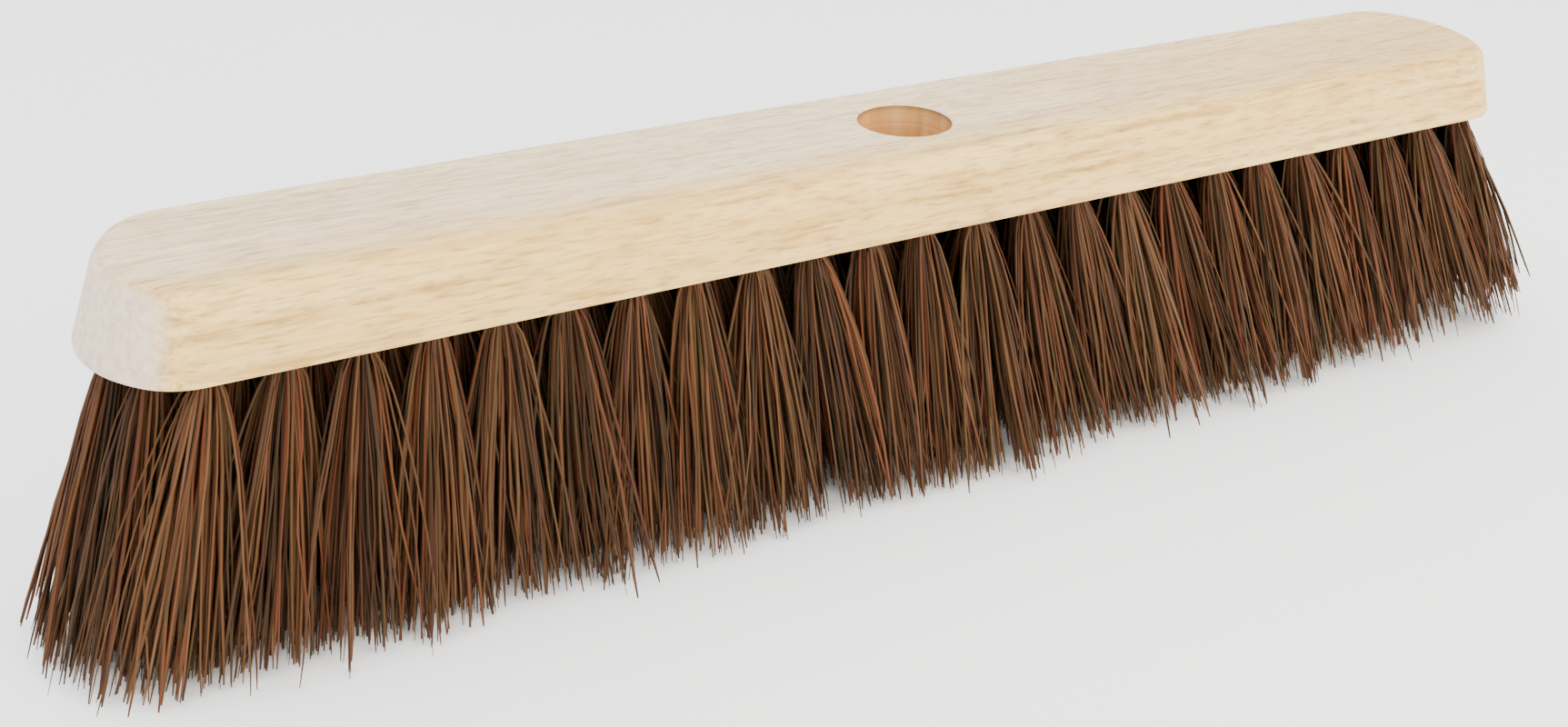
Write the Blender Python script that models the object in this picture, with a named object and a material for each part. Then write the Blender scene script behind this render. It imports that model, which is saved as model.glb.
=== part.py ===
"""Push broom head: a one-piece hardwood stock with a bored handle socket and five staggered rows of
plant-fibre tufts. Each tuft is folded over a flat wire staple and held in a blind hole in the stock.

Units are metres, +Z is up. The origin is in the middle of the trimmed bristle tips, on the floor;
+X runs along the stock and +Y across it.
"""

import math

import bmesh
import bpy

# Stock: a flat board with bowed ends and round corners, whose ends and sides lean in towards the top.
STOCK_LENGTH = 0.457
STOCK_WIDTH = 0.061
STOCK_THICKNESS = 0.022
END_ARC_RADIUS = 0.036
CORNER_RADIUS = 0.0170
END_LEAN = 0.0080
SIDE_LEAN = 0.0030
TOP_ROUND = 0.0035
BOTTOM_ROUND = 0.0010
ROUND_STEPS = 4
END_ARC_STEPS = 4
CORNER_STEPS = 6
SHARP_DEGREES = 40

# Handle socket, bored straight down in the middle of the top face.
SOCKET_DIAMETER = 0.027
SOCKET_DEPTH = 0.0180
SOCKET_CHAMFER = 0.0006
SOCKET_SIDES = 48

# Bristles: their free length from the trimmed tips to the underside of the stock.
BRISTLE_LENGTH = 0.083
ROWS = 5
ROW_PITCH = 0.0122
TUFT_PITCH = 0.01775
FRONT_ROW_TUFTS = 24
TUFT_SIDES = 8
TUFT_HOLE_DIAMETER = 0.0064
TUFT_HOLE_DEPTH = 0.0120
SOCKET_WALL = 0.0020
END_TUFT_INSET = 0.0100

# The tufts spread as they leave the stock and run into one another lower down.
TUFT_SPREAD_RADIUS = 0.0064
MERGE_HEIGHT = 0.030
MERGE_OVERLAP = 0.004
BRUSH_MARGIN = 0.0072
END_SPLAY = 0.022
SIDE_SPLAY = 0.0045
END_SPLAY_POWER = 6
BRUSH_CORNER_STEPS = 7

# Flat wire staples that anchor the middle row, one to a tuft.
STAPLE_LENGTH = 0.0084
STAPLE_WIDTH = 0.0005
STAPLE_HEIGHT = 0.0020
STAPLE_CORNER = 0.00015
STAPLE_DEPTH = 0.0088

# Meshes that touch keep this gap, half of a joint between groups is this wide along X, and a cutter
# runs past the face that it opens.
GAP = 0.00033
HALF_JOINT = 0.00022
OVERRUN = 0.001

UNDERSIDE = BRISTLE_LENGTH
TOP = UNDERSIDE + STOCK_THICKNESS
HOLE_RADIUS = TUFT_HOLE_DIAMETER / 2
LAST_ROW = ROWS // 2
GROUPS = FRONT_ROW_TUFTS
HALF_GROUPS = GROUPS // 2
GROUP_EDGE = 0.25
END_TUFT_X = STOCK_LENGTH / 2 - END_TUFT_INSET
BRUSH_HALF_LENGTH = END_TUFT_X + BRUSH_MARGIN
BRUSH_HALF_WIDTH = LAST_ROW * ROW_PITCH + BRUSH_MARGIN
BRUSH_CORNER = 0.0260


def clear_scene():
    """Removes whatever the scene holds."""
    for item in list(bpy.data.objects):
        bpy.data.objects.remove(item, do_unlink=True)


def make_material(name, colour, roughness, metallic=0.0):
    """A Principled material of one finish."""
    material = bpy.data.materials.new(name)
    material.use_nodes = True
    shader = material.node_tree.nodes["Principled BSDF"]
    shader.inputs["Base Color"].default_value = (*colour, 1.0)
    shader.inputs["Roughness"].default_value = roughness
    shader.inputs["Metallic"].default_value = metallic
    material.diffuse_color = (*colour, 1.0)
    return material


def add_object(name, solids, material=None):
    """An object made from a list of closed (points, faces) solids, with their faces turned outwards."""
    mesh = bpy.data.meshes.new(name)
    shell = bmesh.new()
    for points, faces in solids:
        corners = [shell.verts.new(point) for point in points]
        for face in faces:
            shell.faces.new([corners[index] for index in face])
    bmesh.ops.recalc_face_normals(shell, faces=shell.faces)
    shell.to_mesh(mesh)
    shell.free()
    if material is not None:
        mesh.materials.append(material)
    item = bpy.data.objects.new(name, mesh)
    bpy.context.scene.collection.objects.link(item)
    return item


def add_cutter(name, solids):
    """A helper solid for a Boolean, which isn't part of the object."""
    cutter = add_object(name, solids)
    cutter.hide_render = True
    cutter.display_type = "WIRE"
    return cutter


def add_boolean(item, cutter, operation):
    """Joins the cutter to the item, or cuts it out."""
    modifier = item.modifiers.new(cutter.name, "BOOLEAN")
    modifier.operation = operation
    modifier.solver = "EXACT"
    modifier.object = cutter


def loft(rings):
    """A closed solid through rings of the same number of points, with flat end caps."""
    sides = len(rings[0])
    points = [point for ring in rings for point in ring]
    faces = [tuple(range(sides)), tuple((len(rings) - 1) * sides + index for index in range(sides))]
    for level in range(len(rings) - 1):
        for index in range(sides):
            nearby = (index + 1) % sides
            low = level * sides
            high = low + sides
            faces.append((low + index, low + nearby, high + nearby, high + index))
    return points, faces


def circle(x, y, z, radius, sides):
    """A ring of points that starts half a side away from +X."""
    step = 2 * math.pi / sides
    angles = [(index + 0.5) * step for index in range(sides)]
    return [(x + radius * math.cos(angle), y + radius * math.sin(angle), z) for angle in angles]


def arc(centre_x, centre_y, radius, start, end, steps):
    """Points along an arc, both ends included."""
    angles = [start + (end - start) * step / steps for step in range(steps + 1)]
    return [(centre_x + radius * math.cos(angle), centre_y + radius * math.sin(angle)) for angle in angles]


def board_outline(half_length, half_width, end_radius, corner_radius, z):
    """The points of a board whose bowed ends run into its round corners, counter-clockwise from +X."""
    end_x = half_length - end_radius
    corner_y = half_width - corner_radius
    corner_x = end_x + math.sqrt((end_radius - corner_radius) ** 2 - corner_y**2)
    meeting = math.atan2(corner_y, corner_x - end_x)
    quarter = arc(end_x, 0.0, end_radius, 0.0, meeting, END_ARC_STEPS)
    quarter += arc(corner_x, corner_y, corner_radius, meeting, math.pi / 2, CORNER_STEPS)[1:]
    half = quarter + [(-x, y) for x, y in reversed(quarter)]
    return [(x, y, z) for x, y in half + [(-x, -y) for x, y in half[1:-1]]]


def stock_ring(height, inset):
    """The stock's outline at a height above its underside, drawn in by an inset where an edge is round."""
    rise = height / STOCK_THICKNESS
    half_length = STOCK_LENGTH / 2 - END_LEAN * rise - inset
    half_width = STOCK_WIDTH / 2 - SIDE_LEAN * rise - inset
    return board_outline(
        half_length, half_width, END_ARC_RADIUS - inset, CORNER_RADIUS - inset, UNDERSIDE + height
    )


def stock_body():
    """The board before its holes are bored: a soft edge below, leaning sides and a round edge on top."""
    rings = [stock_ring(0.0, BOTTOM_ROUND), stock_ring(BOTTOM_ROUND, 0.0)]
    for step in range(ROUND_STEPS + 1):
        angle = math.pi / 2 * step / ROUND_STEPS
        height = STOCK_THICKNESS - TOP_ROUND + TOP_ROUND * math.sin(angle)
        rings.append(stock_ring(height, TOP_ROUND * (1 - math.cos(angle))))
    return loft(rings)


def socket_cutter():
    """The handle socket, with a small chamfer at its mouth."""
    radius = SOCKET_DIAMETER / 2
    floor = TOP - SOCKET_DEPTH
    profile = (
        (floor, radius),
        (TOP - SOCKET_CHAMFER, radius),
        (TOP, radius + SOCKET_CHAMFER),
        (TOP + OVERRUN, radius + SOCKET_CHAMFER),
    )
    return loft([circle(0, 0, z, ring_radius, SOCKET_SIDES) for z, ring_radius in profile])


def row_count(row):
    """How many places a row has: rows next to the middle have one more than the front, the middle two."""
    return FRONT_ROW_TUFTS + (2 if row == 0 else row % 2)


def group_at(x):
    """The group that holds a tuft. Groups count outwards from the middle, each with a tuft of every row."""
    rank = min(int(abs(x) / TUFT_PITCH - GROUP_EDGE), HALF_GROUPS - 1)
    return HALF_GROUPS + rank if x > 0 else HALF_GROUPS - 1 - rank


def tufts():
    """Each tuft as (group, row, x, y), leaving out those that the handle socket has no wood for."""
    places = []
    clear = SOCKET_DIAMETER / 2 + SOCKET_WALL + HOLE_RADIUS
    for row in range(-LAST_ROW, LAST_ROW + 1):
        count = row_count(row)
        y = row * ROW_PITCH
        for index in range(count):
            straight_x = (index - (count - 1) / 2) * TUFT_PITCH
            x = max(-END_TUFT_X, min(END_TUFT_X, straight_x))
            if math.hypot(x, y) >= clear:
                places.append((group_at(x), row, x, y))
    return places


def splayed(x, y, z):
    """Where a point of the straight brush goes once the bristles lean outwards at the ends and sides."""
    drop = max(0.0, (UNDERSIDE - z) / BRISTLE_LENGTH)
    lean_x = END_SPLAY * math.copysign((abs(x) / BRUSH_HALF_LENGTH) ** END_SPLAY_POWER, x)
    lean_y = SIDE_SPLAY * y / BRUSH_HALF_WIDTH
    return (x + lean_x * drop, y + lean_y * drop, z)


def tuft_solid(x, y):
    """One tuft: a tight root in its hole that widens from the underside down to where tufts meet."""
    root = HOLE_RADIUS - GAP
    profile = (
        (UNDERSIDE + TUFT_HOLE_DEPTH - GAP, root),
        (UNDERSIDE, root),
        (MERGE_HEIGHT - MERGE_OVERLAP, TUFT_SPREAD_RADIUS),
    )
    rings = []
    for z, radius in profile:
        rings.append([splayed(*point) for point in circle(x, y, z, radius, TUFT_SIDES)])
    return loft(rings)


def tuft_hole(x, y):
    """The cutter for one blind tuft hole."""
    heights = (UNDERSIDE - OVERRUN, UNDERSIDE + TUFT_HOLE_DEPTH)
    return loft([circle(x, y, z, HOLE_RADIUS, TUFT_SIDES) for z in heights])


def half_width(x):
    """Half the straight brush's width at a place along it, less where its corners are round."""
    over = abs(x) - (BRUSH_HALF_LENGTH - BRUSH_CORNER)
    if over <= 0:
        return BRUSH_HALF_WIDTH
    return BRUSH_HALF_WIDTH - BRUSH_CORNER + math.sqrt(max(BRUSH_CORNER**2 - over**2, 0.0))


def boundary(edge, shift):
    """The zigzag line between two neighbouring groups, front to back, which passes between the tufts."""
    from_middle = edge - HALF_GROUPS
    even_x = from_middle * TUFT_PITCH + shift
    odd_x = even_x + (math.copysign(TUFT_PITCH / 2, from_middle) if from_middle else 0.0)
    line = [(even_x, -half_width(even_x))]
    for row in range(-LAST_ROW, LAST_ROW + 1):
        line.append((odd_x if row % 2 else even_x, row * ROW_PITCH))
    line.append((even_x, half_width(even_x)))
    return line


def corner_stations(low, high):
    """Places along the brush between two limits where its round corners need a point."""
    stations = []
    for side in (-1, 1):
        for step in range(BRUSH_CORNER_STEPS):
            turn = math.sin(math.pi / 2 * step / BRUSH_CORNER_STEPS)
            stations.append(side * (BRUSH_HALF_LENGTH - BRUSH_CORNER + BRUSH_CORNER * turn))
    return sorted(x for x in stations if low + GAP < x < high - GAP)


def group_outline(group):
    """The outline of one group's merged bristles before they splay, counter-clockwise."""
    end = BRUSH_HALF_LENGTH
    tip = half_width(end)
    left = boundary(group, HALF_JOINT) if group > 0 else [(-end, -tip), (-end, tip)]
    right = boundary(group + 1, -HALF_JOINT) if group < GROUPS - 1 else [(end, -tip), (end, tip)]
    stations = corner_stations(left[0][0], right[0][0])
    front = [(x, -half_width(x)) for x in stations]
    back = [(x, half_width(x)) for x in reversed(stations)]
    return front + right + back + left[::-1]


def merged_bristles(group):
    """The lower stretch of a group, where its tufts have run together. Neighbours split alike."""
    outline = group_outline(group)
    sides = len(outline)
    points = [splayed(x, y, z) for z in (0.0, MERGE_HEIGHT) for x, y in outline]
    faces = [tuple(range(sides)), tuple(range(sides, 2 * sides))]
    for index in range(sides):
        nearby = (index + 1) % sides
        if outline[index][1] <= outline[nearby][1]:
            faces.append((index, nearby, sides + nearby))
            faces.append((index, sides + nearby, sides + index))
        else:
            faces.append((index, nearby, sides + index))
            faces.append((nearby, sides + nearby, sides + index))
    return points, faces


def staple_bar(x, grow):
    """A staple's flat wire along X with eased edges, or with grow above 0 the room that it needs."""
    half = STAPLE_WIDTH / 2 + grow
    tall = STAPLE_HEIGHT / 2 + grow
    ease = STAPLE_CORNER
    section = ((half, tall - ease), (half - ease, tall), (ease - half, tall), (-half, tall - ease))
    section += tuple((-across, -up) for across, up in section)
    middle = UNDERSIDE + STAPLE_DEPTH
    reach = STAPLE_LENGTH / 2 + grow
    return loft([[(x + end, across, middle + up) for across, up in section] for end in (-reach, reach)])


def build_stock(places, staples, material):
    """The stock with its handle socket, tuft holes and the slots that the staples bite."""
    stock = add_object("stock", [stock_body()], material)
    add_boolean(stock, add_cutter("socket_cutter", [socket_cutter()]), "DIFFERENCE")
    holes = [tuft_hole(x, y) for _, _, x, y in places]
    add_boolean(stock, add_cutter("tuft_hole_cutter", holes), "DIFFERENCE")
    add_boolean(stock, staples, "DIFFERENCE")
    stock.data.shade_smooth()
    stock.data.set_sharp_from_angle(angle=math.radians(SHARP_DEGREES))


def build_group(group, places, staples, material):
    """One group of neighbouring tufts, across the head, as a single brush of fibre."""
    name = f"tufts_{group + 1:02d}"
    brush = add_object(name, [merged_bristles(group)], material)
    own = [tuft_solid(x, y) for owner, _, x, y in places if owner == group]
    add_boolean(brush, add_cutter(f"{name}_roots", own), "UNION")
    add_boolean(brush, staples, "DIFFERENCE")


def build_broom():
    """Builds the whole head."""
    clear_scene()
    wood = make_material("wood", (0.78, 0.62, 0.42), 0.6)
    fibre = make_material("fibre", (0.16, 0.07, 0.035), 0.75)
    wire = make_material("wire", (0.55, 0.55, 0.56), 0.35, 1.0)
    places = tufts()
    anchored = [x for _, row, x, _ in places if row == 0]
    staples = add_cutter("staple_room", [staple_bar(x, GAP) for x in anchored])
    build_stock(places, staples, wood)
    for group in range(GROUPS):
        build_group(group, places, staples, fibre)
    for index, x in enumerate(anchored):
        add_object(f"staple_{index + 1:02d}", [staple_bar(x, 0.0)], wire)


build_broom()
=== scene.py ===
"""Looks of the push broom head: pale sanded hardwood and coarse brown fibres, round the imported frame."""

import math

import bmesh
import bpy
import numpy as np
from mathutils import Matrix, Vector


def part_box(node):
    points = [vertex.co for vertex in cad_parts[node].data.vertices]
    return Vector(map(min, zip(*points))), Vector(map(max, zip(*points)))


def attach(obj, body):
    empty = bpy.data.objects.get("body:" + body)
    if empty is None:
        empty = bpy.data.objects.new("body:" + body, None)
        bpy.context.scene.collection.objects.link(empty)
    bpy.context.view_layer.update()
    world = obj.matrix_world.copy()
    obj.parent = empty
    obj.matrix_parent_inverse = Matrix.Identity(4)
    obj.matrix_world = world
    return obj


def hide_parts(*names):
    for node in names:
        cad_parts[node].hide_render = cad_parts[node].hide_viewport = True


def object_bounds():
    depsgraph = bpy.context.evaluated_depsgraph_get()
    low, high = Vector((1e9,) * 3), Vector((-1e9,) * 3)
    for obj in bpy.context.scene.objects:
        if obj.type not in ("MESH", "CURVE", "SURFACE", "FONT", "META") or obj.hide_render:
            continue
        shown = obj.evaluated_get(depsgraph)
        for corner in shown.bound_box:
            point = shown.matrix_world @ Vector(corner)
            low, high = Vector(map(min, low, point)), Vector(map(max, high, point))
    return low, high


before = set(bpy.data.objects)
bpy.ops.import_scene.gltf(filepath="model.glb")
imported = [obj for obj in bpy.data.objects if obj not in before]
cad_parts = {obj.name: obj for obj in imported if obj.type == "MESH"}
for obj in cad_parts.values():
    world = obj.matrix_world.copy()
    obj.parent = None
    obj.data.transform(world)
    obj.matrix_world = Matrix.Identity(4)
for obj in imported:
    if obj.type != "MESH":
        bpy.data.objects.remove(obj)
CAD_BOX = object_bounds()
SEED = 11

# Places, all from the frame.
STOCK_LOW, STOCK_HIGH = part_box("stock")
UNDERSIDE = STOCK_LOW.z
TOP = STOCK_HIGH.z
TIPS = CAD_BOX[0].z
FREE_LENGTH = UNDERSIDE - TIPS

# Stock, with the same bowed ends, round edges and leaning sides as its CAD node.
END_ARC_RADIUS = 0.036
CORNER_RADIUS = 0.0170
END_LEAN = 0.0080
SIDE_LEAN = 0.0030
TOP_ROUND = 0.0035
BOTTOM_ROUND = 0.0010
END_ARC_STEPS = 14
CORNER_STEPS = 18
ROUND_STEPS = 9
SIDE_STEPS = 60
SHARP_DEGREES = 35
SOCKET_RADIUS = 0.0135
SOCKET_DEPTH = 0.0180
SOCKET_CHAMFER = 0.0006
SOCKET_SIDES = 96
HOLE_RADIUS = 0.0032
HOLE_DEPTH = 0.0120
HOLE_SIDES = 20
OVERRUN = 0.001

# Where a face of the board counts as bored: between these heights, and this little outside the bore's radius.
SOCKET_BAND = (UNDERSIDE + 0.001, TOP - SOCKET_CHAMFER * 0.2)
SOCKET_SLACK = 0.0001
HOLE_BAND = (UNDERSIDE + 0.0005, UNDERSIDE + HOLE_DEPTH + 0.0005)
HOLE_SLACK = 0.0002

# Tufts: where they stand, and how they spread on their way to the floor.
ROWS = 5
ROW_PITCH = 0.0122
TUFT_PITCH = 0.01775
FRONT_ROW_TUFTS = 24
HALF_GROUPS = FRONT_ROW_TUFTS // 2
GROUP_EDGE = 0.25
END_TUFT_INSET = 0.0100
SOCKET_WALL = 0.0020
MIDDLE_LEAN = 0.019
FAN = 0.029
LEFT_SPLAY = 0.021
RIGHT_SPLAY = 0.009
END_SPLAY_POWER = 4
SIDE_SPLAY = 0.0030
LEVEL_LEAN = 0.030
SOCKET_PULL = 1.6
SOCKET_SPREAD = 1.1
SOCKET_REACH = 0.036
FRONT_ROW_EDGE = -1.5 * ROW_PITCH
STAPLE_DEPTH = 0.0088

# Fibres: how many and how thick they are, and how far each may stray from its tuft.
FIBRES_PER_TUFT = 90
OPEN_TUFT_FIBRES = 125
FIBRE_RADIUS = 0.00050
FIBRE_FLATNESS = 0.65
TIP_SPREAD_X = 0.0150
TIP_SPREAD_Y = 0.0092
ROOT_SPREAD = 0.0030
SPREAD_POWER = 0.75
SPREAD_POWER_VARIATION = 0.1
SPREAD_POWER_RANGE = (0.5, 1.1)
REACH_POWER = 0.85
REACH_VARIATION = 0.14
STRAY_SHARE = 0.15
STRAY_REACH = (1.2, 2.0)
LEFT_LIMIT = 0.2530
RIGHT_LIMIT = 0.2695
SIDE_LIMIT = 0.044
LIMIT_MARGIN = (0.020, 0.006)
LOCKS = 10
LOCK_PULL = 0.42
LOCK_PULL_RANGE = (0.3, 1.3)
TIP_JITTER = 0.0010
TIP_UNEVENNESS = 0.0013
LOCK_UNEVENNESS = 0.0022
SHORT_SHARE = 0.12
SHORT_BY = (0.002, 0.016)
LONGEST_SWING = 0.9
TUFT_LEAN = (0.0038, 0.0018)
BOW = 0.0011
WAVE = 0.0004
WAVE_HALF_TURNS = 2.6
THICKNESS_VARIATION = 0.2
THICKNESS_RANGE = (0.6, 1.5)
TONE_SHAPE = (1.9, 2.3)
TONE_SHIFT = 0.045
TONE_RANGE = (0.02, 0.97)
SIDES = 4

# A fibre's stations: three inside its hole, each as its share of the root's place, its distance from the
# staple's middle line (none where it fills the hole) and its height; then shares of its free length.
FOLD_STATIONS = (
    (0.85, 0.0003, STAPLE_DEPTH + 0.0018),
    (0.90, 0.0014, STAPLE_DEPTH - 0.0002),
    (0.98, None, 0.0045),
)
FREE_STATIONS = (0.0, 0.06, 0.15, 0.28, 0.43, 0.6, 0.77, 0.92, 1.0)
TAPER = (0.8, 0.9, 1.0, 1.0, 1.0, 1.0, 1.0, 0.97, 0.93, 0.88, 0.74, 0.42)

# The fibres' map: a narrow column for each tone, and a margin below the roots and above the tips.
BAKE_MAP = "OFBake"
COLUMN_WIDTH = 0.006
MAP_MARGIN = 0.01

FLOOR_HALF = 6.0


def link(name, mesh):
    """A new object in the scene."""
    item = bpy.data.objects.new(name, mesh)
    bpy.context.scene.collection.objects.link(item)
    return item


class Nodes:
    """A short way to write a material's node tree."""

    def __init__(self, name):
        self.material = bpy.data.materials.new(name)
        self.material.use_nodes = True
        self.tree = self.material.node_tree
        self.shader = self.tree.nodes["Principled BSDF"]

    def add(self, kind, **settings):
        """A node, with its properties set by name."""
        node = self.tree.nodes.new("ShaderNode" + kind)
        for key, value in settings.items():
            setattr(node, key, value)
        return node

    def join(self, source, target):
        """Links an output socket to an input socket."""
        self.tree.links.new(source, target)

    def axes(self, kind):
        """The X, Y and Z outputs of the object's coordinates or of its normal."""
        split = self.add("SeparateXYZ")
        self.join(self.add("TexCoord").outputs[kind], split.inputs["Vector"])
        return split.outputs

    def mapping(self, scale, shift=(0, 0, 0)):
        """Object coordinates, scaled and moved."""
        coordinates = self.add("TexCoord")
        mapped = self.add("Mapping")
        mapped.inputs["Scale"].default_value = scale
        mapped.inputs["Location"].default_value = shift
        self.join(coordinates.outputs["Object"], mapped.inputs["Vector"])
        return mapped.outputs["Vector"]

    def noise(self, vector, scale, detail=3.0, roughness=0.5, distortion=0.0):
        """Noise from 0 to 1."""
        node = self.add("TexNoise")
        node.inputs["Scale"].default_value = scale
        node.inputs["Detail"].default_value = detail
        node.inputs["Roughness"].default_value = roughness
        node.inputs["Distortion"].default_value = distortion
        self.join(vector, node.inputs["Vector"])
        return node.outputs["Fac"]

    def ramp(self, value, stops):
        """Colours or greys by value."""
        node = self.add("ValToRGB")
        points = node.color_ramp.elements
        while len(points) < len(stops):
            points.new(0.5)
        for point, (place, colour) in zip(points, stops):
            point.position = place
            point.color = (*colour, 1.0) if isinstance(colour, tuple) else (colour, colour, colour, 1.0)
        self.join(value, node.inputs["Fac"])
        return node.outputs["Color"]

    def mix(self, kind, factor, first, second):
        """Blends two colours; a factor or a colour may be a socket or a plain value."""
        node = self.add("Mix", data_type="RGBA", blend_type=kind)
        for value, socket in ((factor, node.inputs[0]), (first, node.inputs[6]), (second, node.inputs[7])):
            if isinstance(value, bpy.types.NodeSocket):
                self.join(value, socket)
            else:
                socket.default_value = (*value, 1.0) if isinstance(value, tuple) else value
        return node.outputs[2]

    def maths(self, operation, first, second):
        """Maths on two values, each a socket or a number."""
        node = self.add("Math", operation=operation)
        for value, socket in ((first, node.inputs[0]), (second, node.inputs[1])):
            if isinstance(value, bpy.types.NodeSocket):
                self.join(value, socket)
            else:
                socket.default_value = value
        return node.outputs[0]

    def bump(self, height, strength, distance):
        """Feeds a height to the shader's normal."""
        node = self.add("Bump")
        node.inputs["Strength"].default_value = strength
        node.inputs["Distance"].default_value = distance
        self.join(height, node.inputs["Height"])
        self.join(node.outputs["Normal"], self.shader.inputs["Normal"])


def wood_material():
    """Pale, sanded, unvarnished hardwood with its grain along X, and greyer end grain at the board's ends."""
    n = Nodes("wood")
    facing = n.axes("Normal")
    end = n.ramp(n.maths("ABSOLUTE", facing["X"], 0.0), ((0.45, 0.0), (0.75, 1.0)))
    place = n.axes("Object")
    # Painted light: faces that look up, back from the front edge, get a paler, greyer copy of the wood's tone
    # than the sides, fading into the sides' warmer tone towards the front edge, as light falls on the top.
    forward = n.maths("MULTIPLY", place["Y"], -20.0)
    upward = n.ramp(facing["Z"], ((0.35, 0.0), (0.95, 1.0)))
    top = n.maths("MULTIPLY", upward, n.ramp(forward, ((0.24, 1.0), (0.52, 0.0))))
    bands = n.noise(n.mapping((1.3, 15.0, 21.0), shift=(0.3, 0.1, 0.2)), 3.0, 4.0, 0.6, 0.5)
    long_stops = ((0.30, (0.70, 0.43, 0.120)), (0.50, (0.76, 0.490, 0.165)), (0.70, (0.82, 0.570, 0.230)))
    painted_light_top_stops = ((0.30, (0.66, 0.48, 0.280)), (0.50, (0.73, 0.570, 0.350)), (0.70, (0.77, 0.625, 0.400)))
    colour = n.mix("MIX", top, n.ramp(bands, long_stops), n.ramp(bands, painted_light_top_stops))
    heart = n.ramp(n.maths("DIVIDE", place["X"], STOCK_HIGH.x), ((0.05, 0.0), (0.75, 0.85)))
    colour = n.mix("MULTIPLY", n.maths("MULTIPLY", heart, top), colour, (0.99, 0.83, 0.58))
    lines = n.noise(n.mapping((4.0, 210.0, 210.0)), 2.0, 4.0, 0.65, 0.3)
    streaks = n.ramp(lines, ((0.30, 0.70), (0.50, 1.0), (0.75, 1.05)))
    colour = n.mix("MULTIPLY", 0.9, colour, streaks)
    fleck = n.noise(n.mapping((150.0, 1100.0, 1100.0)), 1.0, 2.0, 0.55)
    pores = n.ramp(fleck, ((0.30, 0.58), (0.50, 1.0)))
    colour = n.mix("MULTIPLY", 0.8, colour, pores)
    smudge = n.noise(n.mapping((55.0, 330.0, 330.0), shift=(0.7, 0.2, 0.5)), 1.0, 2.0, 0.6)
    smear = n.ramp(smudge, ((0.30, (0.72, 0.66, 0.52)), (0.52, (1.0, 1.0, 1.0))))
    colour = n.mix("MULTIPLY", n.ramp(top, ((0.0, 1.0), (1.0, 0.5))), colour, smear)
    from_edge = n.maths("ABSOLUTE", n.maths("ADD", place["Y"], 0.0262), 0.0)
    wander = n.maths("MULTIPLY", n.noise(n.mapping((14.0, 60.0, 60.0)), 1.0, 2.0), 0.004)
    vein = n.ramp(n.maths("MULTIPLY", n.maths("ADD", from_edge, wander), 100.0), ((0.18, 0.85), (0.36, 0.0)))
    gaps = n.noise(n.mapping((26.0, 90.0, 90.0), shift=(0.4, 0.0, 0.0)), 1.0, 3.0)
    broken = n.ramp(gaps, ((0.40, 0.0), (0.58, 1.0)))
    leftward = n.maths("MULTIPLY", place["X"], -5.0)
    left_half = n.ramp(leftward, ((0.0, 0.0), (0.3, 1.0), (0.95, 1.0), (1.0, 0.3)))
    vein = n.maths("MULTIPLY", n.maths("MULTIPLY", vein, broken), n.maths("MULTIPLY", left_half, upward))
    colour = n.mix("MIX", vein, colour, (0.60, 0.38, 0.120))
    dots = n.noise(n.mapping((400.0, 420.0, 420.0)), 1.0, 3.0, 0.6)
    end_grain = n.ramp(dots, ((0.35, (0.61, 0.470, 0.345)), (0.60, (0.75, 0.60, 0.465))))
    colour = n.mix("MIX", end, colour, end_grain)
    n.join(colour, n.shader.inputs["Base Color"])
    n.join(n.ramp(lines, ((0.3, 0.70), (0.7, 0.56))), n.shader.inputs["Roughness"])
    n.shader.inputs["Specular IOR Level"].default_value = 0.22
    n.bump(n.mix("MULTIPLY", 1.0, streaks, pores), 0.4, 0.0004)
    return n.material


def bore_material():
    """Freshly cut wood inside the socket and the tuft holes: warmer, rougher, with the drill's fine rings,
    painted shade under the lip and deep down, and painted light paler towards the right.
    """
    n = Nodes("bored_wood")
    bands = n.noise(n.mapping((60.0, 60.0, 9.0)), 3.0, 3.0, 0.6, 0.4)
    stops = ((0.32, (0.45, 0.215, 0.065)), (0.55, (0.60, 0.30, 0.095)), (0.75, (0.68, 0.37, 0.135)))
    colour = n.ramp(bands, stops)
    place = n.axes("Object")
    # Painted light: the wall paler and less orange towards the bore's right side, by its place across X.
    across = n.maths("ADD", n.maths("MULTIPLY", place["X"], 0.5 / SOCKET_RADIUS), 0.5)
    colour = n.mix("MULTIPLY", n.ramp(across, ((0.35, 0.0), (0.95, 1.0))), colour, (1.0, 1.13, 1.30))
    # Painted shade: darker in a thin band just under the lip and again towards the bottom of the bore.
    depth = n.maths("DIVIDE", n.maths("SUBTRACT", TOP, place["Z"]), SOCKET_DEPTH)
    shade = n.ramp(depth, ((0.03, 0.34), (0.12, 0.85), (0.20, 1.0), (0.40, 1.0), (0.85, 0.82)))
    colour = n.mix("MULTIPLY", 1.0, colour, shade)
    rings = n.noise(n.mapping((2.0, 2.0, 900.0)), 1.0, 1.0)
    colour = n.mix("MULTIPLY", 0.45, colour, n.ramp(rings, ((0.35, 0.82), (0.6, 1.0))))
    n.join(colour, n.shader.inputs["Base Color"])
    n.join(n.ramp(bands, ((0.3, 0.85), (0.7, 0.72))), n.shader.inputs["Roughness"])
    n.shader.inputs["Specular IOR Level"].default_value = 0.2
    n.bump(rings, 0.5, 0.0003)
    return n.material


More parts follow.
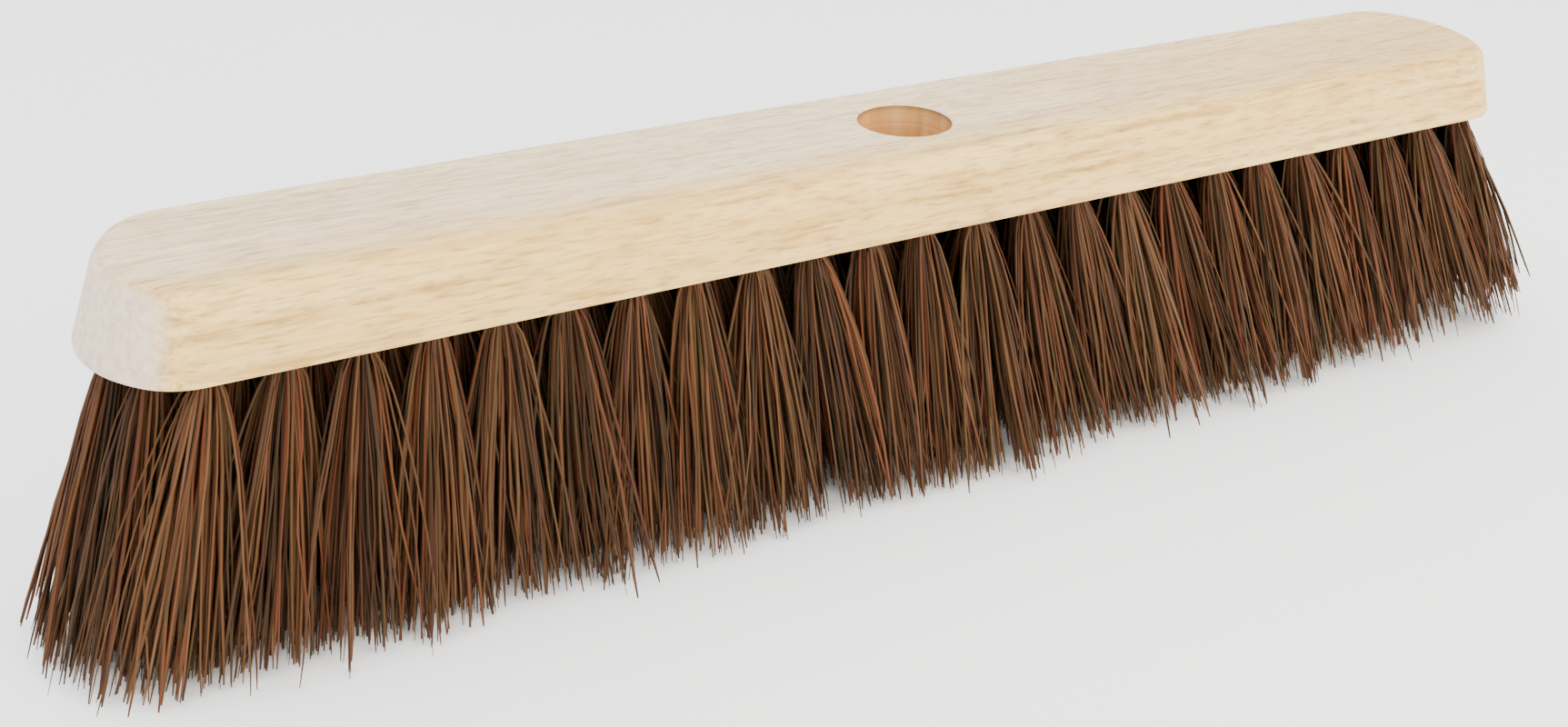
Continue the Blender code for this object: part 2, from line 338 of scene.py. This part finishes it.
def fibre_material():
    """Plant fibre. Each strand's own tone runs along U of its map and its length along V."""
    n = Nodes("fibre")
    place = n.add("UVMap", uv_map=BAKE_MAP)
    parts = n.add("SeparateXYZ")
    n.join(place.outputs["UV"], parts.inputs["Vector"])
    stretched = n.add("Mapping")
    stretched.inputs["Scale"].default_value = (90.0, 5.0, 1.0)
    n.join(place.outputs["UV"], stretched.inputs["Vector"])
    mottle = n.noise(stretched.outputs["Vector"], 1.0, 3.0, 0.6)
    drift = n.maths("MULTIPLY", n.maths("SUBTRACT", mottle, 0.5), 0.34)
    stops = (
        (0.00, (0.027, 0.0140, 0.0070)),
        (0.25, (0.047, 0.0215, 0.0088)),
        (0.48, (0.067, 0.0280, 0.0100)),
        (0.68, (0.086, 0.0360, 0.0122)),
        (0.86, (0.099, 0.0465, 0.0182)),
        (1.00, (0.121, 0.0715, 0.0365)),
    )
    colour = n.ramp(n.maths("ADD", parts.outputs["X"], drift), stops)
    hue = n.add("TexNoise", noise_dimensions="1D")
    hue.inputs["Scale"].default_value = 140.0
    n.join(parts.outputs["X"], hue.inputs["W"])
    red = n.ramp(hue.outputs["Fac"], ((0.53, 0.0), (0.63, 1.0)))
    olive = n.ramp(hue.outputs["Fac"], ((0.37, 1.0), (0.47, 0.0)))
    colour = n.mix("MULTIPLY", red, colour, (1.22, 0.74, 0.66))
    colour = n.mix("MULTIPLY", olive, colour, (0.80, 1.04, 0.94))
    # Darker towards the roots: painted shade under the block, partly grime; lighter towards the tips.
    along = n.ramp(parts.outputs["Y"], ((0.0, 0.45), (0.20, 0.85), (0.5, 1.0), (0.9, 1.0), (1.0, 1.3)))
    colour = n.mix("MULTIPLY", 1.0, colour, along)
    n.join(colour, n.shader.inputs["Base Color"])
    n.join(n.ramp(mottle, ((0.3, 0.74), (0.7, 0.58))), n.shader.inputs["Roughness"])
    n.shader.inputs["Specular IOR Level"].default_value = 0.16
    return n.material


def wire_material():
    """Drawn flat steel wire with fine lengthwise lines."""
    n = Nodes("wire")
    lines = n.noise(n.mapping((30.0, 900.0, 900.0)), 2.0, 3.0)
    colour = n.ramp(lines, ((0.3, (0.42, 0.42, 0.43)), (0.7, (0.64, 0.64, 0.65))))
    n.join(colour, n.shader.inputs["Base Color"])
    n.join(n.ramp(lines, ((0.3, 0.42), (0.7, 0.28))), n.shader.inputs["Roughness"])
    n.shader.inputs["Metallic"].default_value = 1.0
    n.bump(lines, 0.3, 0.0001)
    return n.material


def floor_material():
    """A plain pale floor with the faintest mottling."""
    n = Nodes("floor")
    tone = n.noise(n.mapping((1.0, 1.0, 1.0)), 4.0, 2.0)
    n.join(n.ramp(tone, ((0.3, 0.93), (0.7, 0.95))), n.shader.inputs["Base Color"])
    n.shader.inputs["Roughness"].default_value = 0.9
    n.shader.inputs["Specular IOR Level"].default_value = 0.1
    return n.material


def row_count(row):
    """How many places a row has: rows next to the middle have one more than the front, the middle two."""
    return FRONT_ROW_TUFTS + (2 if row == 0 else row % 2)


def group_at(x):
    """The group that holds a tuft. Groups count outwards from the middle, each with a tuft of every row."""
    rank = min(int(abs(x) / TUFT_PITCH - GROUP_EDGE), HALF_GROUPS - 1)
    return HALF_GROUPS + rank if x > 0 else HALF_GROUPS - 1 - rank


def tuft_places():
    """Each tuft as (group, row, x, y), leaving out those that the handle socket has no wood for."""
    places = []
    half_length = (STOCK_HIGH.x - STOCK_LOW.x) / 2
    end = half_length - END_TUFT_INSET
    clear = SOCKET_RADIUS + SOCKET_WALL + HOLE_RADIUS
    for row in range(-(ROWS // 2), ROWS // 2 + 1):
        count = row_count(row)
        y = row * ROW_PITCH
        for index in range(count):
            x = max(-end, min(end, (index - (count - 1) / 2) * TUFT_PITCH))
            if math.hypot(x, y) >= clear:
                places.append((group_at(x), row, x, y))
    return places


def arc(centre_x, centre_y, radius, start, end, steps):
    """Points along an arc, both ends included."""
    angles = [start + (end - start) * step / steps for step in range(steps + 1)]
    return [(centre_x + radius * math.cos(angle), centre_y + radius * math.sin(angle)) for angle in angles]


def stock_ring(height, inset):
    """The stock's outline at a height above its underside, with points along its straight sides too."""
    rise = (height - BOTTOM_ROUND) / (TOP - UNDERSIDE)
    half_x = (STOCK_HIGH.x - STOCK_LOW.x) / 2 - END_LEAN * rise - inset
    half_y = (STOCK_HIGH.y - STOCK_LOW.y) / 2 - SIDE_LEAN * rise - inset
    end_radius = END_ARC_RADIUS - inset
    corner_radius = CORNER_RADIUS - inset
    end_x = half_x - end_radius
    corner_y = half_y - corner_radius
    corner_x = end_x + math.sqrt((end_radius - corner_radius) ** 2 - corner_y**2)
    meeting = math.atan2(corner_y, corner_x - end_x)
    quarter = arc(end_x, 0.0, end_radius, 0.0, meeting, END_ARC_STEPS)
    quarter += arc(corner_x, corner_y, corner_radius, meeting, math.pi / 2, CORNER_STEPS)[1:]
    side = [(corner_x * (1 - 2 * step / SIDE_STEPS), half_y) for step in range(1, SIDE_STEPS)]
    half = quarter + side + [(-x, y) for x, y in reversed(quarter)]
    return [(x, y, UNDERSIDE + height) for x, y in half + [(-x, -y) for x, y in half[1:-1]]]


def loft(rings):
    """A closed shell through rings of the same number of points, with flat end caps."""
    shell = bmesh.new()
    loops = [[shell.verts.new(point) for point in ring] for ring in rings]
    for low, high in zip(loops, loops[1:]):
        for index in range(len(low)):
            nearby = (index + 1) % len(low)
            shell.faces.new((low[index], low[nearby], high[nearby], high[index]))
    shell.faces.new(loops[0])
    shell.faces.new(loops[-1])
    bmesh.ops.recalc_face_normals(shell, faces=shell.faces)
    return shell


def circle(x, y, z, radius, sides):
    """A ring of points."""
    angles = [2 * math.pi * index / sides for index in range(sides)]
    return [(x + radius * math.cos(angle), y + radius * math.sin(angle), z) for angle in angles]


def cutter(name, shells):
    """One helper object from several closed shells."""
    mesh = bpy.data.meshes.new(name)
    whole = bmesh.new()
    for shell in shells:
        part = bpy.data.meshes.new("part")
        shell.to_mesh(part)
        shell.free()
        whole.from_mesh(part)
        bpy.data.meshes.remove(part)
    whole.to_mesh(mesh)
    whole.free()
    return link(name, mesh)


def cut(item, tool):
    """Cuts the tool out of the item for good, and removes the tool."""
    modifier = item.modifiers.new("cut", "BOOLEAN")
    modifier.operation = "DIFFERENCE"
    modifier.solver = "EXACT"
    modifier.object = tool
    graph = bpy.context.evaluated_depsgraph_get()
    mesh = bpy.data.meshes.new_from_object(item.evaluated_get(graph))
    item.modifiers.clear()
    item.data = mesh
    bpy.data.objects.remove(tool)


def stock_piece(places, wood, bored):
    """The board: sanded round edges, the bored socket and a blind hole for each tuft."""
    rings = [stock_ring(0.0, BOTTOM_ROUND), stock_ring(BOTTOM_ROUND * 0.3, BOTTOM_ROUND * 0.3)]
    rings.append(stock_ring(BOTTOM_ROUND, 0.0))
    straight = TOP - UNDERSIDE - TOP_ROUND
    for step in range(ROUND_STEPS + 1):
        angle = math.pi / 2 * step / ROUND_STEPS
        rings.append(stock_ring(straight + TOP_ROUND * math.sin(angle), TOP_ROUND * (1 - math.cos(angle))))
    mesh = bpy.data.meshes.new("stock_fine")
    shell = loft(rings)
    shell.to_mesh(mesh)
    shell.free()
    item = link("stock_fine", mesh)
    mesh.materials.append(wood)
    mesh.materials.append(bored)
    radius = SOCKET_RADIUS
    floor = TOP - SOCKET_DEPTH
    profile = (
        (floor, radius),
        (TOP - SOCKET_CHAMFER, radius),
        (TOP, radius + SOCKET_CHAMFER),
        (TOP + OVERRUN, radius + SOCKET_CHAMFER),
    )
    cut(item, cutter("socket", [loft([circle(0, 0, z, r, SOCKET_SIDES) for z, r in profile])]))
    heights = (UNDERSIDE - OVERRUN, UNDERSIDE + HOLE_DEPTH)
    holes = [loft([circle(x, y, z, HOLE_RADIUS, HOLE_SIDES) for z in heights]) for _, _, x, y in places]
    cut(item, cutter("holes", holes))
    mark_bored(item, places)
    item.data.shade_smooth()
    item.data.set_sharp_from_angle(angle=math.radians(SHARP_DEGREES))
    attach(item, "root")
    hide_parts("stock")


def mark_bored(item, places):
    """Gives the walls and floors of the bored holes the freshly cut wood."""
    centres = np.array([(x, y) for _, _, x, y in places])
    for face in item.data.polygons:
        x, y, z = face.center
        bored = math.hypot(x, y) < SOCKET_RADIUS + SOCKET_SLACK and SOCKET_BAND[0] < z < SOCKET_BAND[1]
        if not bored and HOLE_BAND[0] < z < HOLE_BAND[1]:
            bored = np.hypot(centres[:, 0] - x, centres[:, 1] - y).min() < HOLE_RADIUS + HOLE_SLACK
        face.material_index = 1 if bored else 0


def by_socket(x, y):
    """How near a tuft stands to the empty places round the socket, from 0 to 1, and 0 in the front row."""
    near = max(1.0 - math.hypot(x, y) / SOCKET_REACH, 0.0)
    return near if y > FRONT_ROW_EDGE else 0.0


def lean_at(x, y):
    """How far the tips of a tuft stand out from its hole: swept to the right, and fanned out to both ends."""
    along = x / STOCK_HIGH.x
    splay = RIGHT_SPLAY if x > 0 else -LEFT_SPLAY
    fill = SOCKET_PULL * by_socket(x, y)
    lean_x = MIDDLE_LEAN + FAN * along + splay * abs(along) ** END_SPLAY_POWER - fill * x
    return lean_x, SIDE_SPLAY * y / STOCK_HIGH.y - fill * y


def held_back(value, limit, margin):
    """Eases values towards a limit on either side, from a margin before it."""
    beyond = np.maximum(np.abs(value) - (limit - margin), 0.0)
    return np.sign(value) * (np.minimum(np.abs(value), limit - margin) + margin * np.tanh(beyond / margin))


def tip_places(draw, way, out, wider):
    """Where one tuft's fibres end, seen from above: a loose disc, drawn together into locks, and strays."""
    count = len(out)
    spread = np.array([TIP_SPREAD_X, TIP_SPREAD_Y]) * wider
    reach = out**REACH_POWER * draw.normal(1.0, REACH_VARIATION, count)
    stray = draw.uniform(0, 1, count) < STRAY_SHARE
    reach = np.where(stray, reach * draw.uniform(*STRAY_REACH, count), reach)
    tip = way * reach[:, None] * spread
    heart = tip[draw.choice(count, LOCKS, replace=False)]
    nearest = np.linalg.norm(tip[:, None, :] - heart[None, :, :], axis=2).argmin(1)
    pull = np.where(stray, 0.0, LOCK_PULL * draw.uniform(*LOCK_PULL_RANGE, count))[:, None]
    tip = tip + (heart[nearest] - tip) * pull
    return tip + draw.normal(0, TIP_JITTER, (count, 2)), nearest


def tip_heights(draw, count, nearest):
    """How far above the floor one tuft's fibres end: nearly level, lock by lock, with some short ones."""
    own = np.abs(draw.normal(0, TIP_UNEVENNESS, count))
    end = TIPS + own + draw.uniform(0, LOCK_UNEVENNESS, LOCKS)[nearest]
    short = draw.uniform(0, 1, count) < SHORT_SHARE
    return np.where(short, end + draw.uniform(*SHORT_BY, count), end)


def swung_height(offset):
    """The height of a fibre's end when it leans so far that its own length keeps it off the floor."""
    length = math.hypot(FREE_LENGTH, LEVEL_LEAN)
    reach = np.minimum(np.linalg.norm(offset, axis=1), length * LONGEST_SWING)
    return UNDERSIDE - np.sqrt(length**2 - reach**2)


def folded_roots(root):
    """The stretch of each fibre inside its hole, from over the staple down: flat places and heights."""
    side = np.where(root[:, 1] >= 0, 1.0, -1.0)
    flat = []
    for share, beside, _ in FOLD_STATIONS:
        flat.append(root * share if beside is None else np.stack([root[:, 0] * share, side * beside], 1))
    heights = np.array([height for _, _, height in FOLD_STATIONS])
    return np.stack(flat, 1), UNDERSIDE + np.broadcast_to(heights, (len(root), len(FOLD_STATIONS)))


def strands(draw, x, y):
    """One tuft's fibres: paths as (fibre, station, xyz), thickness at each station, and tones."""
    near = by_socket(x, y)
    open_sided = near > 0 or abs(x) > STOCK_HIGH.x - END_TUFT_INSET - TUFT_PITCH / 2
    count = OPEN_TUFT_FIBRES if open_sided else FIBRES_PER_TUFT
    angle = draw.uniform(0, 2 * math.pi, count)
    out = np.sqrt(draw.uniform(0, 1, count))
    way = np.stack([np.cos(angle), np.sin(angle)], 1)
    root = way * (out * ROOT_SPREAD)[:, None]
    tip, nearest = tip_places(draw, way, out, 1.0 + SOCKET_SPREAD * near)
    lean = np.array(lean_at(x, y)) + draw.normal(0, TUFT_LEAN)
    limit = np.array([RIGHT_LIMIT if x > 0 else LEFT_LIMIT, SIDE_LIMIT])
    base = np.array([x, y])
    tip = held_back(tip + base + lean, limit, np.array(LIMIT_MARGIN)) - base - lean
    end = np.maximum(tip_heights(draw, count, nearest), swung_height(tip + lean - root))
    share = np.array(FREE_STATIONS)[None, :]
    depth = share * (UNDERSIDE - end)[:, None]
    fall = (depth / FREE_LENGTH)[:, :, None]
    quick = draw.normal(SPREAD_POWER, SPREAD_POWER_VARIATION, count).clip(*SPREAD_POWER_RANGE)[:, None, None]
    drift = root[:, None, :] + (tip - root)[:, None, :] * fall**quick + lean * fall
    bow = draw.normal(0, BOW, (count, 2))
    wave = draw.normal(0, WAVE, (count, 2))
    drift = drift + bow[:, None, :] * np.sin(math.pi * share)[:, :, None]
    drift = drift + wave[:, None, :] * np.sin(WAVE_HALF_TURNS * math.pi * share)[:, :, None]
    inside, high = folded_roots(root)
    flat = np.concatenate([inside, drift], 1)
    z = np.concatenate([high, UNDERSIDE - depth], 1)
    path = np.concatenate([flat + base, z[:, :, None]], 2)
    thick = FIBRE_RADIUS * draw.normal(1.0, THICKNESS_VARIATION, count).clip(*THICKNESS_RANGE)
    tone = (draw.beta(*TONE_SHAPE, count) + draw.normal(0, TONE_SHIFT)).clip(*TONE_RANGE)
    return path, thick[:, None] * np.array(TAPER)[None, :], tone


def strand_mesh(name, paths, radii, tones, draw):
    """A mesh of closed, tapered strands with four soft sides."""
    path = np.concatenate(paths)
    radius = np.concatenate(radii)
    tone = np.concatenate(tones)
    count, stations, _ = path.shape
    roll = draw.uniform(0, math.pi, count)
    corner = roll[:, None] + np.arange(SIDES)[None, :] * (2 * math.pi / SIDES)
    flat = np.where(np.arange(SIDES) % 2 == 0, 1.0, FIBRE_FLATNESS)
    ring = np.stack([np.cos(corner) * flat, np.sin(corner) * flat, np.zeros_like(corner)], 2)
    points = path[:, :, None, :] + radius[:, :, None, None] * ring[:, None, :, :]
    index = np.arange(count * stations * SIDES).reshape(count, stations, SIDES)
    nearby = np.roll(index, -1, axis=2)
    walls = np.stack([index[:, :-1], index[:, 1:], nearby[:, 1:], nearby[:, :-1]], 3).reshape(-1, 4)
    ends = np.concatenate([index[:, 0], index[:, -1, ::-1]])
    faces = np.concatenate([walls, ends])
    mesh = bpy.data.meshes.new(name)
    mesh.vertices.add(points.size // 3)
    mesh.vertices.foreach_set("co", points.reshape(-1).astype(np.float32))
    mesh.loops.add(faces.size)
    mesh.loops.foreach_set("vertex_index", faces.reshape(-1).astype(np.int32))
    mesh.polygons.add(len(faces))
    mesh.polygons.foreach_set("loop_start", np.arange(0, faces.size, 4, dtype=np.int32))
    mesh.update(calc_edges=True)
    mesh.validate()
    strand_map(mesh, faces, count, stations, tone)
    mesh.shade_smooth()
    return mesh


def strand_map(mesh, faces, count, stations, tone):
    """Lays every strand on its tone's own narrow column of the map, root at the bottom and tip at the top."""
    station = (faces // SIDES) % stations
    strand = faces // (SIDES * stations)
    side = faces % SIDES
    across = np.minimum(side, SIDES - side) / (SIDES / 2)
    u = tone[strand] * (1 - 2 * COLUMN_WIDTH) + COLUMN_WIDTH * across
    v = MAP_MARGIN + (1 - 2 * MAP_MARGIN) * station / (stations - 1)
    layer = mesh.uv_layers.new(name=BAKE_MAP)
    layer.data.foreach_set("uv", np.stack([u, v], 2).reshape(-1).astype(np.float32))


def bristle_pieces(places, material):
    """One piece for each group of tufts, in place of its plain CAD solid."""
    draw = np.random.default_rng(SEED)
    for group in range(FRONT_ROW_TUFTS):
        own = [strands(draw, x, y) for owner, _, x, y in places if owner == group]
        name = f"bristles_{group + 1:02d}"
        mesh = strand_mesh(name, *zip(*own), draw)
        mesh.materials.append(material)
        item = link(name, mesh)
        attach(item, "root")
        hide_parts(f"tufts_{group + 1:02d}")


def staple_rows(places, material):
    """The staples of the rows that the frame has no nodes for: copies of its first one, row by row."""
    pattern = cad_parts["staple_01"].data
    low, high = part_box("staple_01")
    start = (low + high) / 2
    for row in range(-(ROWS // 2), ROWS // 2 + 1):
        if row == 0:
            continue
        whole = bmesh.new()
        for _, own, x, y in places:
            if own != row:
                continue
            copy = pattern.copy()
            copy.transform(Matrix.Translation((x - start.x, y - start.y, 0.0)))
            whole.from_mesh(copy)
            bpy.data.meshes.remove(copy)
        name = f"staples_row_{row + ROWS // 2 + 1}"
        mesh = bpy.data.meshes.new(name)
        whole.to_mesh(mesh)
        whole.free()
        mesh.materials.clear()
        mesh.materials.append(material)
        item = link(name, mesh)
        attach(item, "root")


def dress_staples(material):
    """The frame's own staples keep their shape and get the wire's finish."""
    for name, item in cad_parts.items():
        if name.startswith("staple_"):
            item.data.materials.clear()
            item.data.materials.append(material)


def floor_piece(material):
    """The floor that the broom stands on."""
    mesh = bpy.data.meshes.new("floor")
    corners = [(x * FLOOR_HALF, y * FLOOR_HALF, TIPS) for x, y in ((-1, -1), (1, -1), (1, 1), (-1, 1))]
    mesh.from_pydata(corners, [], [(0, 1, 2, 3)])
    mesh.materials.append(material)
    link("floor", mesh)


def area_light(name, place, aim, size, power, colour=(1, 1, 1)):
    """A soft square light that looks at a point."""
    data = bpy.data.lights.new(name, "AREA")
    data.shape = "SQUARE"
    data.size = size
    data.energy = power
    data.color = colour
    item = link(name, data)
    item.location = place
    item.rotation_euler = (Vector(aim) - Vector(place)).to_track_quat("-Z", "Y").to_euler()


def lights():
    """A pale studio: an even surround, a broad light above and one in front."""
    world = bpy.data.worlds.new("studio")
    world.use_nodes = True
    surround = world.node_tree.nodes["Background"]
    surround.inputs["Color"].default_value = (1.0, 1.0, 1.0, 1.0)
    surround.inputs["Strength"].default_value = 2.2
    bpy.context.scene.world = world
    area_light("above", place=(-0.3, -0.2, 1.6), aim=(0, 0, 0.05), size=1.4, power=30.0)
    warm = (1.0, 0.93, 0.80)
    area_light("front", place=(0.6, -1.5, 0.6), aim=(0.05, 0, 0.05), size=1.2, power=42.0, colour=warm)


def camera():
    """The view: from the left and above, half a metre from the head."""
    lens = 41.25
    azimuth = math.radians(-31.0)
    elevation = math.radians(27.53)
    roll = math.radians(1.97)
    place = Vector((-0.2765, -0.3985, 0.278))
    back = Vector(
        (
            math.sin(azimuth) * math.cos(elevation),
            -math.cos(azimuth) * math.cos(elevation),
            math.sin(elevation),
        )
    )
    right = Vector((math.cos(azimuth), math.sin(azimuth), 0.0))
    up = back.cross(right)
    turned_right = right * math.cos(roll) + up * math.sin(roll)
    turned_up = up * math.cos(roll) - right * math.sin(roll)
    data = bpy.data.cameras.new("camera")
    data.lens = lens
    data.clip_start = 0.01
    item = link("camera", data)
    columns = (turned_right, turned_up, back)
    matrix = item.matrix_world.to_3x3()
    for column, axis in enumerate(columns):
        for row in range(3):
            matrix[row][column] = axis[row]
    item.matrix_world = matrix.to_4x4()
    item.location = place
    bpy.context.scene.camera = item


places = tuft_places()
camera()
lights()
floor_piece(floor_material())
stock_piece(places, wood_material(), bore_material())
bristle_pieces(places, fibre_material())
wire = wire_material()
dress_staples(wire)
staple_rows(places, wire)

bpy.context.view_layer.update()
